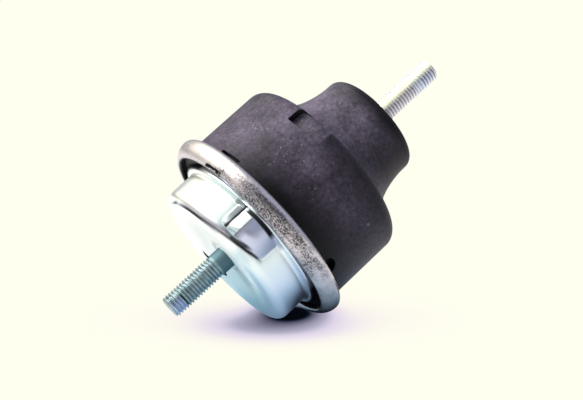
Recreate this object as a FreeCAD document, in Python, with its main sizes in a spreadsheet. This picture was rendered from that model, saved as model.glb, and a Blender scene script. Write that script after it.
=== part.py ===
import FreeCAD, Part
import Sketcher
import math
import os
import re

# Fluid filled engine mount. The origin is the middle of the ring that the cup stands on, +Z runs along
# the mount's axis towards the upper stud, and +X points at the locating boss. Millimetres and degrees.
SIZES = {
    # studs
    "stud_radius": 5.0,
    "stud_chamfer": 1.2,
    "stud_collar": 1.0,
    "stud_clearance": 0.05,
    "lower_stud_reach": 31.0,
    "lower_stud_head_radius": 9.0,
    "lower_stud_head_height": 3.5,
    "upper_stud_reach": 35.0,
    "upper_stud_grip": 24.0,
    # pressed cup
    "cup_sheet": 1.5,
    "cup_corner_radius": 4.0,
    "dish_depth": 2.4,
    "dish_flat_margin": 0.5,
    "dish_blend_radius": 37.0,
    "seat_width": 2.2,
    "step_height": 15.1,
    "step_rise": 2.5,
    "step_width": 2.8,
    "flange_width": 9.1,
    "flange_overhang": 1.6,
    # locating boss on the cup
    "boss_radius": 9.5,
    "boss_reach": 5.1,
    "boss_fillet": 4.0,
    "boss_foot": 4.4,
    "boss_foot_round": 4.5,
    # rolled ring
    "ring_sheet": 2.0,
    "ring_fit": 0.1,
    "ring_flank_width": 2.5,
    "ring_shoulder_radius": 2.3,
    "ring_flank_radius": 7.0,
    "ring_lip_overlap": 2.1,
    "ring_lip_height": 2.3,
    "ring_lip_round": 1.1,
    "ring_lip_flat": 0.5,
    # sleeve
    "sleeve_wall": 2.9,
    "sleeve_fit": 0.05,
    "sleeve_wall_height": 33.2,
    "shoulder_run": 4.03,
    "shoulder_rise": 5.07,
    "shoulder_radius": 5.2,
    "mouth_rise": 2.08,
    "mouth_edge": 0.45,
    "notch_start": -33.0,
    "notch_end": -9.7,
    "notch_floor_drop": 3.5,
    "slot_start": -48.0,
    "slot_end": -33.0,
    "slot_height": 4.2,
    "drain_angle": 47.0,
    "drain_radius": 4.0,
    "drain_height": 2.3,
    # rubber spring
    "bell_drop": 5.8,
    "bell_rise": 8.8,
    "bell_run": 3.8,
    "bell_radius": 12.0,
    "neck_foot_run": 4.0,
    "neck_lower_run": 5.6,
    "neck_lower_height": 9.4,
    "neck_lower_radius": 22.0,
    "neck_upper_height": 13.4,
    "neck_upper_radius": 46.0,
    "neck_waist_step": 2.0,
    "head_side": 0.6,
    "head_round": 3.4,
    "chamber_height": 12.0,
    "chamber_lining": 1.6,
    # core
    "core_wall": 12.0,
    "core_cover": 6.4,
    "core_length": 36.0,
    "core_straight": 12.0,
    "core_taper": 5.0,
    "core_tip_bare": 2.0,
    "core_tip_chamfer": 1.5,
    # outer armature
    "can_sheet": 1.2,
    "can_cover": 1.4,
    "can_wall_height": 19.7,
    "can_cone_run": 6.4,
    "can_cone_rise": 7.4,
    # inertia track and decoupler
    "plate_sheet": 1.2,
    "cover_sheet": 1.2,
    "track_gap": 1.1,
    "track_height": 8.0,
    "track_floor": 2.0,
    "track_rim": 2.5,
    "cell_wall": 4.5,
    "channel_width": 6.0,
    "channel_sweep": 330.0,
    "channel_port_radius": 2.4,
    "channel_port_angle": 24.0,
    "decoupler_side_gap": 0.5,
    "decoupler_thick": 3.0,
    "decoupler_lift": 0.5,
    "port_radius": 2.6,
    "port_margin": 7.5,
    "port_count": 6,
    "rivet_radius": 1.2,
    "rivet_head_radius": 2.0,
    "rivet_head_height": 0.9,
    "rivet_count": 3,
    # diaphragm
    "membrane_sheet": 1.4,
    "bead_width": 2.3,
    "bead_gap": 0.2,
    "fold_radius": 6.0,
    "fold_margin": 4.7,
}

# heights of the stack, from the cup's seat up
Z_FLANGE = "step_height + step_rise"
Z_PLATE = Z_FLANGE + " + cup_sheet"
Z_CAN = Z_PLATE + " + plate_sheet"
Z_FOOT = Z_CAN + " + can_sheet"
Z_RING = Z_FOOT + " + ring_sheet"
Z_SHOULDER = Z_FOOT + " + sleeve_wall_height"
Z_MOUTH = Z_SHOULDER + " + shoulder_rise + mouth_rise"
Z_NECK = Z_MOUTH + " - mouth_edge"
Z_BELL = Z_SHOULDER + " - bell_drop"
Z_HEAD = Z_NECK + " + neck_lower_height + neck_upper_height + head_side + head_round"
Z_COVER = Z_CAN + " + track_height"
Z_DECOUPLER = Z_COVER + " - decoupler_thick - decoupler_lift"

# radii shared by mating pieces, from the stud outwards to the flanges
R_CORE = "(stud_radius + core_wall)"
R_CORE_TIP = "(%s - core_taper)" % R_CORE
R_HEAD = "(%s + core_cover)" % R_CORE
R_NECK = "(%s + neck_waist_step + neck_lower_run)" % R_HEAD
R_SKIN = "(%s + neck_foot_run + bell_run)" % R_NECK
R_SLEEVE = "(%s + sleeve_wall)" % R_SKIN
R_FLANGE = "(%s + flange_overhang)" % R_SLEEVE
# and from the flanges inwards
R_CUP = "(%s - flange_width)" % R_FLANGE
R_STEP = "(%s + step_width)" % R_CUP
R_CAN = "(%s - can_cover)" % R_SKIN
R_CAN_IN = "(%s - can_sheet)" % R_CAN
R_LINING = "(%s - chamber_lining)" % R_CAN_IN
R_TRACK = "(%s - track_gap)" % R_LINING
R_CHANNEL_OUT = "(%s - track_rim)" % R_TRACK
R_CHANNEL_IN = "(%s - channel_width)" % R_CHANNEL_OUT
R_CHANNEL = "((%s + %s) / 2)" % (R_CHANNEL_OUT, R_CHANNEL_IN)
R_CELL = "(%s - cell_wall)" % R_CHANNEL_IN
R_DECOUPLER = "(%s - decoupler_side_gap)" % R_CELL
R_PORTS = "(%s - port_margin)" % R_DECOUPLER
R_RIVETS = "((%s + %s) / 2)" % (R_CELL, R_CHANNEL_IN)
R_FOLD = "(%s - cup_sheet - fold_radius - fold_margin)" % R_CUP
R_COLLAR = "(stud_radius + stud_collar)"
R_HOLE = "(%s + stud_clearance)" % R_COLLAR
R_DISH_FLAT = "(lower_stud_head_radius + dish_flat_margin)"

LEFT = 1
RIGHT = -1

doc = FreeCAD.newDocument("engine_mount")
sheet = doc.addObject("Spreadsheet::Sheet", "Sizes")
for row, (name, number) in enumerate(SIZES.items(), 1):
    sheet.set("A%d" % row, name)
    sheet.set("B%d" % row, str(number))
    sheet.setAlias("B%d" % row, name)
doc.recompute()


def bound(text):
    """The plain names of sizes in text, turned into references to the sheet."""
    def refer(word):
        name = word.group()
        return "Sizes." + name if name in SIZES else name
    return re.sub(r"[a-z_]+", refer, text)


def value(text):
    """The present value of an expression on the sizes."""
    return float(sheet.evalExpression(bound(text)))


def new_body(label):
    body = doc.addObject("PartDesign::Body", label)
    body.Label = label
    body.AllowCompound = True
    return body


def new_sketch(body, name, role, lift=None):
    """A sketch on one of the body's own origin planes, lifted off it by an expression."""
    sketch = body.newObject("Sketcher::SketchObject", name)
    plane = [item for item in body.Origin.OriginFeatures if item.Role == role][0]
    sketch.AttachmentSupport = [(plane, "")]
    sketch.MapMode = "FlatFace"
    if lift is not None:
        sketch.setExpression("AttachmentOffset.Base.z", bound(lift))
    return sketch


def pin_point(sketch, geometry, end, place):
    """Dimensions one point of the sketch from its origin."""
    for kind, text in zip(("DistanceX", "DistanceY"), place):
        if text == "0":
            axis = -2 if kind == "DistanceX" else -1
            sketch.addConstraint(Sketcher.Constraint("PointOnObject", geometry, end, axis))
            continue
        index = sketch.addConstraint(Sketcher.Constraint(kind, -1, 1, geometry, end, value(text)))
        sketch.setExpression("Constraints[%d]" % index, bound(text))


def arc_between(start, end, radius, side):
    """An arc of the given radius from start to end, turning left or right."""
    middle = (start + end) * 0.5
    chord = end - start
    across = FreeCAD.Vector(-chord.y, chord.x, 0).normalize()
    sagitta = math.sqrt(max(radius * radius - chord.Length * chord.Length / 4, 0.0))
    centre = middle + across * (sagitta * side)
    first, last = (start, end) if side == LEFT else (end, start)
    angles = [math.atan2(point.y - centre.y, point.x - centre.x) for point in (first, last)]
    return Part.ArcOfCircle(Part.Circle(centre, FreeCAD.Vector(0, 0, 1), radius), angles[0], angles[1])


def add_loop(sketch, corners):
    """A closed outline. A corner is (x, y), or (x, y, radius, side) if an arc leads on to the next one."""
    points = [FreeCAD.Vector(value(corner[0]), value(corner[1]), 0) for corner in corners]
    runs = []
    for index, corner in enumerate(corners):
        start = points[index]
        end = points[(index + 1) % len(points)]
        if len(corner) == 2:
            geometry = sketch.addGeometry(Part.LineSegment(start, end), False)
            runs.append((geometry, 1, 2))
            continue
        arc = arc_between(start, end, value(corner[2]), corner[3])
        geometry = sketch.addGeometry(arc, False)
        runs.append((geometry, 1, 2) if corner[3] == LEFT else (geometry, 2, 1))
    for index, corner in enumerate(corners):
        geometry, first, _ = runs[index]
        before, _, last = runs[index - 1]
        sketch.addConstraint(Sketcher.Constraint("Coincident", before, last, geometry, first))
        pin_point(sketch, geometry, first, corner[:2])
        if len(corner) == 4:
            radius = sketch.addConstraint(Sketcher.Constraint("Radius", geometry, value(corner[2])))
            sketch.setExpression("Constraints[%d]" % radius, bound(corner[2]))


def add_circle(sketch, x, y, radius):
    """A circle whose middle and radius are expressions."""
    centre = FreeCAD.Vector(value(x), value(y), 0)
    circle = Part.Circle(centre, FreeCAD.Vector(0, 0, 1), value(radius))
    geometry = sketch.addGeometry(circle, False)
    pin_point(sketch, geometry, 3, (x, y))
    index = sketch.addConstraint(Sketcher.Constraint("Radius", geometry, value(radius)))
    sketch.setExpression("Constraints[%d]" % index, bound(radius))


def revolve(body, name, corners, kind="PartDesign::Revolution", sweep="360"):
    """Turns a closed outline in the XZ plane about the mount's axis."""
    sketch = new_sketch(body, name + "_outline", "XZ_Plane")
    add_loop(sketch, corners)
    feature = body.newObject(kind, name)
    feature.Profile = sketch
    feature.ReferenceAxis = (sketch, ["V_Axis"])
    feature.Angle = value(sweep)
    feature.setExpression("Angle", bound(sweep))
    feature.Midplane = True
    doc.recompute()
    return feature


def extrude(body, name, kind, sketch, length, back=False):
    """A Pad, or a Pocket, of the sketch along its own normal."""
    feature = body.newObject(kind, name)
    feature.Profile = sketch
    feature.Length = value(length)
    feature.setExpression("Length", bound(length))
    feature.Reversed = back
    doc.recompute()
    return feature


def pocket_up(body, name, sketch, length):
    """A Pocket that runs from its sketch towards +Z, and is seen to have cut something."""
    before = body.Shape.Volume
    feature = extrude(body, name, "PartDesign::Pocket", sketch, length, True)
    if feature.Shape.Volume >= before:
        raise RuntimeError(name + " cut nothing")
    return feature


def repeat_round(body, name, feature, count):
    """Repeats one feature evenly about the mount's axis."""
    pattern = body.newObject("PartDesign::PolarPattern", name)
    pattern.Originals = [feature]
    axis = [item for item in body.Origin.OriginFeatures if item.Role == "Z_Axis"][0]
    pattern.Axis = (axis, [""])
    pattern.Angle = 360
    pattern.Occurrences = int(value(count))
    pattern.setExpression("Occurrences", bound(count))
    body.Tip = pattern
    doc.recompute()
    return pattern


def cup_outline(lift, shrink):
    """The side of the cup from its axis out to the flange, offset inwards by the sheet for the hollow."""
    wall = R_CUP + shrink
    corner = "cup_corner_radius" + shrink
    dish = R_CUP + " - cup_corner_radius - seat_width"
    half = "(%s + %s) / 2" % (dish, R_DISH_FLAT)
    return [
        ("0", "dish_depth" + lift),
        (R_DISH_FLAT, "dish_depth" + lift, "dish_blend_radius", RIGHT),
        (half, "dish_depth / 2" + lift, "dish_blend_radius", LEFT),
        (dish, "0" if not lift else "0" + lift),
        (R_CUP + " - cup_corner_radius", "0" if not lift else "0" + lift, corner, LEFT),
        (wall, "cup_corner_radius"),
        (wall, "step_height" + lift),
    ]


def boss_outline(shrink, grow):
    """The half-round boss with its blends into the wall; shrink and grow carry the sheet for the hollow."""
    wall = "(%s%s)" % (R_CUP, shrink)
    bulge = "(boss_radius%s)" % shrink
    blend = "(boss_fillet%s)" % grow
    middle = "(%s + boss_reach - boss_radius)" % R_CUP
    reach = "(%s + boss_fillet)" % R_CUP
    blend_x = "((%s ^ 2 + %s ^ 2 - (boss_radius + boss_fillet) ^ 2) / (2 * %s))" % (reach, middle, middle)
    blend_y = "sqrt(%s ^ 2 - %s ^ 2)" % (reach, blend_x)
    wall_x = "%s / %s * %s" % (wall, reach, blend_x)
    wall_y = "%s / %s * %s" % (wall, reach, blend_y)
    bulge_x = "%s + %s / (boss_radius + boss_fillet) * (%s - %s)" % (middle, bulge, blend_x, middle)
    bulge_y = "%s / (boss_radius + boss_fillet) * %s" % (bulge, blend_y)
    inside = "%s - cup_sheet" % wall_x
    return [
        (inside, "-(%s)" % wall_y),
        (wall_x, "-(%s)" % wall_y, blend, RIGHT),
        (bulge_x, "-(%s)" % bulge_y, bulge, LEFT),
        (bulge_x, bulge_y, blend, RIGHT),
        (wall_x, wall_y),
        (inside, wall_y),
    ]


def make_base_cup():
    body = new_body("base_cup")
    outer = cup_outline("", "") + [
        (R_STEP, "step_height"),
        (R_STEP, Z_FLANGE),
        (R_FLANGE, Z_FLANGE),
        (R_FLANGE, Z_PLATE),
        ("0", Z_PLATE),
    ]
    revolve(body, "cup_pressing", outer)
    boss_sketch = new_sketch(body, "boss_outline", "XY_Plane", "boss_foot")
    add_loop(boss_sketch, boss_outline("", ""))
    extrude(body, "boss", "PartDesign::Pad", boss_sketch, Z_FLANGE + " - boss_foot")
    crest = R_CUP + " + boss_reach"
    revolve(body, "boss_foot_rounding", [
        (crest + " - boss_foot_round", "boss_foot", "boss_foot_round", LEFT),
        (crest, "boss_foot + boss_foot_round"),
        (crest + " + cup_sheet", "boss_foot + boss_foot_round"),
        (crest + " + cup_sheet", "boss_foot - cup_sheet"),
        (crest + " - boss_foot_round", "boss_foot - cup_sheet"),
    ], "PartDesign::Groove")
    inner = cup_outline(" + cup_sheet", " - cup_sheet") + [
        (R_STEP + " - cup_sheet", "step_height + cup_sheet"),
        (R_STEP + " - cup_sheet", Z_PLATE),
        ("0", Z_PLATE),
    ]
    revolve(body, "cup_hollow", inner, "PartDesign::Groove")
    hollow_foot = "boss_foot + boss_foot_round"
    hollow_sketch = new_sketch(body, "boss_hollow_outline", "XY_Plane", hollow_foot)
    add_loop(hollow_sketch, boss_outline(" - cup_sheet", " + cup_sheet"))
    pocket_up(body, "boss_hollow", hollow_sketch, "%s - (%s)" % (Z_PLATE, hollow_foot))
    hole_sketch = new_sketch(body, "stud_hole_outline", "XY_Plane")
    add_circle(hole_sketch, "0", "0", R_HOLE)
    pocket_up(body, "stud_hole", hole_sketch, "dish_depth + 2 * cup_sheet")
    return body


def make_lower_stud():
    body = new_body("lower_stud")
    seat = "dish_depth + cup_sheet"
    tip = "dish_depth - lower_stud_reach"
    revolve(body, "stud_blank", [
        ("0", tip),
        ("stud_radius - stud_chamfer", tip),
        ("stud_radius", tip + " + stud_chamfer"),
        ("stud_radius", "dish_depth"),
        (R_COLLAR, "dish_depth"),
        (R_COLLAR, seat),
        ("lower_stud_head_radius", seat),
        ("lower_stud_head_radius", seat + " + lower_stud_head_height"),
        ("0", seat + " + lower_stud_head_height"),
    ])
    return body


def make_crimp_ring():
    body = new_body("crimp_ring")
    bore = R_FLANGE + " + ring_fit"
    outside = bore + " + ring_flank_width"
    mouth = R_SLEEVE + " + sleeve_fit"
    lip = R_FLANGE + " - ring_lip_overlap"
    low = Z_FLANGE + " - ring_lip_height"
    revolve(body, "rolled_section", [
        (lip, Z_FLANGE),
        (lip, low + " + ring_lip_round", "ring_lip_round", LEFT),
        (lip + " + ring_lip_round", low),
        (lip + " + ring_lip_round + ring_lip_flat", low, "ring_flank_radius", LEFT),
        (outside, Z_RING + " - ring_shoulder_radius", "ring_shoulder_radius", LEFT),
        (outside + " - ring_shoulder_radius", Z_RING),
        (mouth, Z_RING),
        (mouth, Z_FOOT),
        (bore, Z_FOOT),
        (bore, Z_FLANGE),
    ])
    return body


def bell_outline():
    """The flare of the rubber, from the sleeve's bore up to the foot of the neck."""
    return [
        (R_SKIN, Z_BELL, "bell_radius", LEFT),
        (R_SKIN + " - bell_run", Z_BELL + " + bell_rise"),
        (R_NECK, Z_NECK),
    ]


def sector(start, end, reach):
    """A wedge from the axis outwards between two angles."""
    return [
        ("0", "0"),
        ("%s * cos(%s)" % (reach, start), "%s * sin(%s)" % (reach, start)),
        ("%s * cos(%s)" % (reach, end), "%s * sin(%s)" % (reach, end)),
    ]


def make_cover_sleeve():
    body = new_body("cover_sleeve")
    outer = [
        (R_SLEEVE, Z_FOOT),
        (R_SLEEVE, Z_SHOULDER, "shoulder_radius", LEFT),
        (R_SLEEVE + " - shoulder_run", Z_SHOULDER + " + shoulder_rise"),
        (R_NECK, Z_MOUTH),
    ]
    inner = [
        (R_NECK, Z_NECK),
        (R_SKIN + " - bell_run", Z_BELL + " + bell_rise", "bell_radius", RIGHT),
        (R_SKIN, Z_BELL),
        (R_SKIN, Z_FOOT),
    ]
    revolve(body, "sleeve_moulding", outer + inner)
    reach = "2 * " + R_SLEEVE
    notch_sketch = new_sketch(body, "notch_outline", "XY_Plane", Z_SHOULDER + " - notch_floor_drop")
    add_loop(notch_sketch, sector("notch_start", "notch_end", reach))
    pocket_up(body, "notch", notch_sketch, "notch_floor_drop + shoulder_rise + mouth_rise")
    slot_sketch = new_sketch(body, "slot_outline", "XY_Plane", Z_FOOT)
    add_loop(slot_sketch, sector("slot_start", "slot_end", reach))
    pocket_up(body, "slot", slot_sketch, "slot_height")
    drain_sketch = new_sketch(body, "drain_outline", "YZ_Plane")
    drain_sketch.AttachmentOffset = FreeCAD.Placement(
        FreeCAD.Vector(), FreeCAD.Rotation(FreeCAD.Vector(0, 1, 0), value("drain_angle")))
    drain_sketch.setExpression("AttachmentOffset.Rotation.Angle", bound("drain_angle"))
    add_circle(drain_sketch, "0", Z_FOOT + " + drain_height", "drain_radius")
    before = body.Shape.Volume
    drain = extrude(body, "drain", "PartDesign::Pocket", drain_sketch, "2 * " + R_SLEEVE, True)
    if drain.Shape.Volume >= before:
        raise RuntimeError("the drain cut nothing")
    return body


def can_wall():
    """The can's wall and cone, up its outside and down its inside."""
    slant = "sqrt(can_cone_run ^ 2 + can_cone_rise ^ 2)"
    bend = Z_CAN + " + can_wall_height"
    return [
        (R_CAN, Z_FOOT),
        (R_CAN, bend),
        (R_CAN + " - can_cone_run", bend + " + can_cone_rise"),
        (R_CAN + " - can_cone_run - can_sheet * can_cone_rise / %s" % slant,
         bend + " + can_cone_rise - can_sheet * can_cone_run / %s" % slant),
        (R_CAN_IN, bend + " - can_sheet * can_cone_run / (%s + can_cone_rise)" % slant),
        (R_CAN_IN, Z_CAN),
    ]


def make_outer_armature():
    body = new_body("outer_armature")
    flange = [(R_FLANGE, Z_CAN), (R_FLANGE, Z_FOOT)]
    revolve(body, "can_pressing", flange + can_wall())
    return body


def core_side():
    """The core's side, from the top face down to where the rubber ends."""
    return [
        (R_CORE, Z_HEAD),
        (R_CORE, Z_HEAD + " - core_straight"),
        (R_CORE_TIP, Z_HEAD + " - core_length + core_tip_bare + core_tip_chamfer"),
    ]


def make_main_spring():
    body = new_body("main_spring")
    neck = [
        (R_NECK, Z_NECK, "neck_lower_radius", RIGHT),
        (R_HEAD + " + neck_waist_step", Z_NECK + " + neck_lower_height", "neck_upper_radius", RIGHT),
        (R_HEAD, Z_NECK + " + neck_lower_height + neck_upper_height"),
        (R_HEAD, Z_HEAD + " - head_round", "head_round", LEFT),
        (R_HEAD + " - head_round", Z_HEAD),
    ]
    lining = R_CAN + " - can_sheet - chamber_lining"
    chamber = [
        (lining, Z_CAN + " + chamber_height"),
        (lining, Z_CAN),
    ]
    outline = [(R_SKIN, Z_FOOT)] + bell_outline()[:-1] + neck + core_side() + chamber + can_wall()[::-1]
    revolve(body, "rubber_moulding", outline)
    return body


def make_core():
    body = new_body("core")
    bottom = Z_HEAD + " - core_length"
    revolve(body, "core_blank", core_side() + [
        (R_CORE_TIP, bottom + " + core_tip_chamfer"),
        (R_CORE_TIP + " - core_tip_chamfer", bottom),
        ("0", bottom),
        ("0", Z_HEAD + " - upper_stud_grip"),
        (R_HOLE, Z_HEAD + " - upper_stud_grip"),
        (R_HOLE, Z_HEAD),
    ])
    return body


def make_upper_stud():
    body = new_body("upper_stud")
    tip = Z_HEAD + " + upper_stud_reach"
    bottom = Z_HEAD + " - upper_stud_grip"
    revolve(body, "stud_blank", [
        ("0", bottom),
        (R_COLLAR + " - stud_chamfer", bottom),
        (R_COLLAR, bottom + " + stud_chamfer"),
        (R_COLLAR, Z_HEAD),
        ("stud_radius", Z_HEAD),
        ("stud_radius", tip + " - stud_chamfer"),
        ("stud_radius - stud_chamfer", tip),
        ("0", tip),
    ])
    return body


def cut_rivet_holes(body, level, depth):
    """One hole, repeated, through a plate of the track."""
    sketch = new_sketch(body, body.Label + "_rivet_outline", "XY_Plane", level)
    add_circle(sketch, "0", R_RIVETS, "rivet_radius")
    hole = pocket_up(body, body.Label + "_rivet_hole", sketch, depth)
    repeat_round(body, body.Label + "_rivet_holes", hole, "rivet_count")


def cut_channel_port(body, level, depth, sign):
    """The hole through which the fluid enters or leaves the ring channel."""
    sketch = new_sketch(body, body.Label + "_channel_outline", "XY_Plane", level)
    angle = "%schannel_port_angle" % sign
    x = "%s * cos(%s)" % (R_CHANNEL, angle)
    y = "%s * sin(%s)" % (R_CHANNEL, angle)
    add_circle(sketch, x, y, "channel_port_radius")
    pocket_up(body, body.Label + "_channel_port", sketch, depth)


def cut_ports(body, level, depth):
    """The ring of ports over or under the decoupler."""
    sketch = new_sketch(body, body.Label + "_port_outline", "XY_Plane", level)
    add_circle(sketch, R_PORTS, "0", "port_radius")
    port = pocket_up(body, body.Label + "_port", sketch, depth)
    repeat_round(body, body.Label + "_ports", port, "port_count")


def ring_plate(body, name, bore, radius, level, thick):
    """A flat disc, or a flat ring if it has a bore."""
    revolve(body, name, [
        (bore, level),
        (radius, level),
        (radius, "%s + %s" % (level, thick)),
        (bore, "%s + %s" % (level, thick)),
    ])


def make_lower_plate():
    body = new_body("lower_plate")
    ring_plate(body, "plate_blank", R_DECOUPLER, R_FLANGE, Z_PLATE, "plate_sheet")
    cut_channel_port(body, Z_PLATE, "plate_sheet", "-")
    cut_rivet_holes(body, Z_PLATE, "plate_sheet")
    return body


def make_track_body():
    body = new_body("track_body")
    ring_plate(body, "casting", "0", R_TRACK, Z_CAN, "track_height")
    cell = R_DECOUPLER + " + decoupler_side_gap"
    revolve(body, "decoupler_cell", [
        ("0", Z_DECOUPLER),
        (cell, Z_DECOUPLER),
        (cell, Z_COVER),
        ("0", Z_COVER),
    ], "PartDesign::Groove")
    revolve(body, "channel", [
        (R_CHANNEL_IN, Z_CAN + " + track_floor"),
        (R_CHANNEL_IN + " + channel_width", Z_CAN + " + track_floor"),
        (R_CHANNEL_IN + " + channel_width", Z_COVER),
        (R_CHANNEL_IN, Z_COVER),
    ], "PartDesign::Groove", "channel_sweep")
    cut_channel_port(body, Z_CAN, "track_floor", "-")
    cut_ports(body, Z_CAN, "track_height")
    cut_rivet_holes(body, Z_CAN, "track_height")
    return body


def make_upper_plate():
    body = new_body("upper_plate")
    ring_plate(body, "cover_blank", "0", R_TRACK, Z_COVER, "cover_sheet")
    cut_channel_port(body, Z_COVER, "cover_sheet", "")
    cut_ports(body, Z_COVER, "cover_sheet")
    cut_rivet_holes(body, Z_COVER, "cover_sheet")
    return body


def make_decoupler():
    body = new_body("decoupler")
    ring_plate(body, "disc", "0", R_DECOUPLER, Z_DECOUPLER, "decoupler_thick")
    return body


def make_track_rivets():
    body = new_body("track_rivets")
    top = Z_COVER + " + cover_sheet"
    levels = [
        ("tail", "rivet_head_radius", Z_PLATE + " - rivet_head_height", "rivet_head_height"),
        ("shank", "rivet_radius", Z_PLATE, "plate_sheet + track_height + cover_sheet"),
        ("head", "rivet_head_radius", top, "rivet_head_height"),
    ]
    count = int(value("rivet_count"))
    for name, radius, level, height in levels:
        sketch = new_sketch(body, name + "_outline", "XY_Plane", level)
        for turn in range(count):
            angle = "%d / rivet_count * 360 + 90" % turn
            x = "%s * cos(%s)" % (R_RIVETS, angle)
            y = "%s * sin(%s)" % (R_RIVETS, angle)
            add_circle(sketch, x, y, radius)
        extrude(body, name, "PartDesign::Pad", sketch, height)
    return body


def make_diaphragm():
    body = new_body("diaphragm")
    shelf = "step_height + cup_sheet"
    top = shelf + " + membrane_sheet"
    bead_out = R_STEP + " - cup_sheet - bead_gap"
    bead_in = bead_out + " - bead_width"
    tight = "fold_radius - membrane_sheet / 2"
    wide = "fold_radius + membrane_sheet / 2"
    revolve(body, "rubber_moulding", [
        ("0", shelf),
        (R_FOLD + " - (%s)" % wide, shelf, wide, LEFT),
        (R_FOLD, "%s - (%s)" % (shelf, wide), wide, LEFT),
        (R_FOLD + " + (%s)" % wide, shelf),
        (bead_out, shelf),
        (bead_out, Z_PLATE),
        (bead_in, Z_PLATE),
        (bead_in, top),
        (R_FOLD + " + (%s)" % tight, top),
        (R_FOLD + " + (%s)" % tight, shelf, tight, RIGHT),
        (R_FOLD, "%s - (%s)" % (shelf, tight), tight, RIGHT),
        (R_FOLD + " - (%s)" % tight, shelf),
        (R_FOLD + " - (%s)" % tight, top),
        ("0", top),
    ])
    return body


MAKERS = [
    make_base_cup,
    make_lower_stud,
    make_crimp_ring,
    make_cover_sleeve,
    make_outer_armature,
    make_main_spring,
    make_core,
    make_upper_stud,
    make_lower_plate,
    make_track_body,
    make_upper_plate,
    make_decoupler,
    make_track_rivets,
    make_diaphragm,
]
bodies = [maker() for maker in MAKERS]
doc.recompute()

for item in doc.Objects:
    if "Invalid" in item.State or "Error" in item.State:
        raise RuntimeError("%s did not recompute: %s" % (item.Label, item.State))
for body in bodies:
    if body.Shape.isNull() or not body.Shape.isValid() or not body.Shape.Solids:
        raise RuntimeError(body.Label + " has no valid solid")

os.makedirs("parts", exist_ok=True)
for body in bodies:
    body.Shape.exportStep("parts/%s.step" % body.Label)
    box = body.Shape.BoundBox
    print(
        "%-15s solids %d volume %9.0f  x %.1f..%.1f y %.1f..%.1f z %.1f..%.1f"
        % (body.Label, len(body.Shape.Solids), body.Shape.Volume, box.XMin, box.XMax, box.YMin, box.YMax,
           box.ZMin, box.ZMax))
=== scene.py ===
import math
import bpy
import numpy as np
from mathutils import Matrix, Vector


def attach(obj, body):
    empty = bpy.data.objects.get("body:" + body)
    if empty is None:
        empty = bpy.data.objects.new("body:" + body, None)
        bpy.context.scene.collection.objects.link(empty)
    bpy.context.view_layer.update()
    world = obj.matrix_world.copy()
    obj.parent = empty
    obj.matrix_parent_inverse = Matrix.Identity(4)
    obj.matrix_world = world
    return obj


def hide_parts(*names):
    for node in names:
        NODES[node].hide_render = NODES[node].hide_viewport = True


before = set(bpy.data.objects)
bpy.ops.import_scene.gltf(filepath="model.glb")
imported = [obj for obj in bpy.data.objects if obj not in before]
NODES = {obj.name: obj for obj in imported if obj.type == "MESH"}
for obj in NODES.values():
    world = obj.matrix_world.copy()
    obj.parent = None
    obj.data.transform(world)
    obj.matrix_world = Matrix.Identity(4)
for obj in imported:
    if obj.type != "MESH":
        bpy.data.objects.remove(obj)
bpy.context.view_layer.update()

MM = 0.001

# the view: places in millimetres and directions, before a turn about the mount's axis in degrees
VIEW_TURN = 1.0
CAMERA_PLACE = (523.4, 1.1, -91.7)
CAMERA_RIGHT = (0.17785, 0.67789, 0.71332)
CAMERA_UP = (0.16400, -0.73516, 0.65776)
CAMERA_BACK = (0.97029, 0.0, -0.24192)
LENS = 80.27
SENSOR = 36

# the floor: its way up, its level against the origin in millimetres, and half its side in metres
FLOOR_UP = (0.330, -0.724, 0.606)
FLOOR_LEVEL = -25.65
FLOOR_HALF = 4

# light: sides of the room as (right, up off the floor, away from the camera), soft edges and strengths
FLOOR_GLOW = 1.15
FLOOR_SOFTER = 0.9
ROOM_SOFTER = 0.6
WINDOW = (-0.70, 0.70, 0.12)
WINDOW_EDGE = (0.62, 0.74)
WINDOW_GLOW = 1.3
WINDOW_WARMTH = 0.74
ROOM = (0.42, 0.47, 0.56)
SHADED_PATCH = (-0.09, 0.14, -0.99)
PATCH_EDGE = (0.8, 0.94)
HORIZON_EDGE = (0.0, 0.22)
KEY_SIDE = (-0.75, 0.75, -0.1)
KEY_STRENGTH = 3.6
KEY_WIDTH = 35

# colours that more than one material uses: the backdrop as the screen shows it, the dust as linear light
BACKDROP = (255, 255, 240)
DUST = (0.5, 0.48, 0.5)

# sizes of the cup in millimetres, as the CAD has them
CUP_R = 34.2
CUP_CORNER = 4.0
CUP_SHEET = 1.5
CUP_FILLET = 1.5
CUP_EASE = 0.31
DISH = 2.4
DISH_IN = 9.5
DISH_EDGE = 2.2
STEP_Z = 15.1
STEP_R = 37.0
STEP_ROUND = 0.7
FLANGE_Z = 17.6
FLANGE_R = 43.3
BOSS_R = 9.5
BOSS_REACH = 39.3
BOSS_FOOT = 4.4
BOSS_ROUND = 4.5
BOSS_BLEND = 2.6
HOLE_R = 6.05

# sizes of the ring and of the sleeve that it holds
SLEEVE_R = 41.7
FOOT_Z = 21.5
RING_BORE = 43.4
RING_R = 45.9
RING_TOP = 23.5
RING_ROUND = 2.3
RING_EASE = 0.05
RING_CHAMFER = 0.3
FLANK_ROUND = 7.0
LIP_REACH = 2.1
LIP_DROP = 2.3
LIP_ROUND = 1.1
LIP_FLAT = 1.6

# the notch: its two sides and its dark wall in degrees about the axis, and its floor's height
NOTCH = (-32.9, -9.8)
NOTCH_WALL = -33.0
NOTCH_FLOOR = 51.2

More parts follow.
